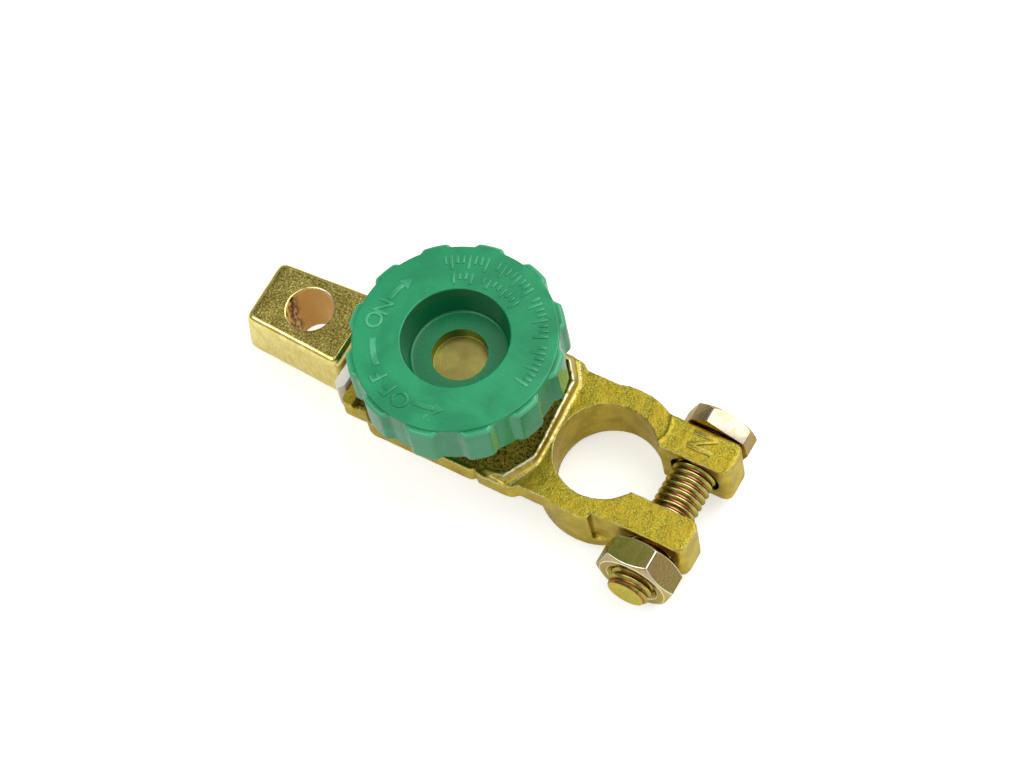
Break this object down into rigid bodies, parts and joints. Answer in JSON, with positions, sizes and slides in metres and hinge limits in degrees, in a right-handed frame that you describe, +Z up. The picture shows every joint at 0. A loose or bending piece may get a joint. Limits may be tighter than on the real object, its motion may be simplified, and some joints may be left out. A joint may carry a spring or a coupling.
{
  "type": "battery terminal clamp",
  "caption": "Brass battery post clamp with a clamping bolt and nut, a tapered cable lug and a lobed green screw-down knob that isolates the battery.",
  "frame": {"origin": "under the middle of the part's bounding box, at the level of its lowest point", "axes": "+X runs from the cable lug to the bolted arms, +Y to the bolt's head, +Z up along the knob and the battery post"},
  "size_m": [0.0894, 0.0376, 0.0314],
  "materials": {
    "casting_brass": "plated casting with a fine grain",
    "lug_brass": "speckled top, burnished sides",
    "insulator_nylon": "satin, off-white",
    "knob_plastic": "semi-gloss moulded green",
    "stud_brass": "turned",
    "washer_brass": "pressed",
    "clip_steel": "spring steel, yellow passivated",
    "bolt_steel": "yellow passivated zinc",
    "nut_steel": "yellow passivated zinc"
  },
  "bodies": {
    "clamp": {"clamp_casting": "casting_brass", "lug_casting": "lug_brass", "insulator": "insulator_nylon"},
    "washer": {"contact_washer": "washer_brass"},
    "knob": {"knob": "knob_plastic", "knob_stud": "stud_brass", "stud_clip": "clip_steel"},
    "bolt": {"clamp_bolt": "bolt_steel"},
    "nut": {"clamp_nut": "nut_steel"}
  },
  "joints": [
    {"name": "knob_lift", "type": "slide", "parent": "clamp", "child": "washer", "axis": [0, 0, 1], "range_m": [0, 0.00188]},
    {"name": "knob_turn", "type": "hinge", "parent": "washer", "child": "knob", "pos_m": [-0.00266, 0.00061, 0.02193], "axis": [0, 0, 1], "range_deg": [0, 540]},
    {"name": "bolt_turn", "type": "hinge", "parent": "clamp", "child": "bolt", "pos_m": [0.03724, 0.01196, 0.00743], "axis": [0, 1, 0], "range_deg": [-216, 576]},
    {"name": "nut_travel", "type": "slide", "parent": "clamp", "child": "nut", "axis": [0, 1, 0], "range_m": [-0.00201, 0.00076]}
  ],
  "couplings": [
    {"joint": "knob_lift", "follows": "knob_turn", "m_per_rad": 0.00019894},
    {"joint": "nut_travel", "follows": "bolt_turn", "m_per_rad": -0.00019894}
  ]
}
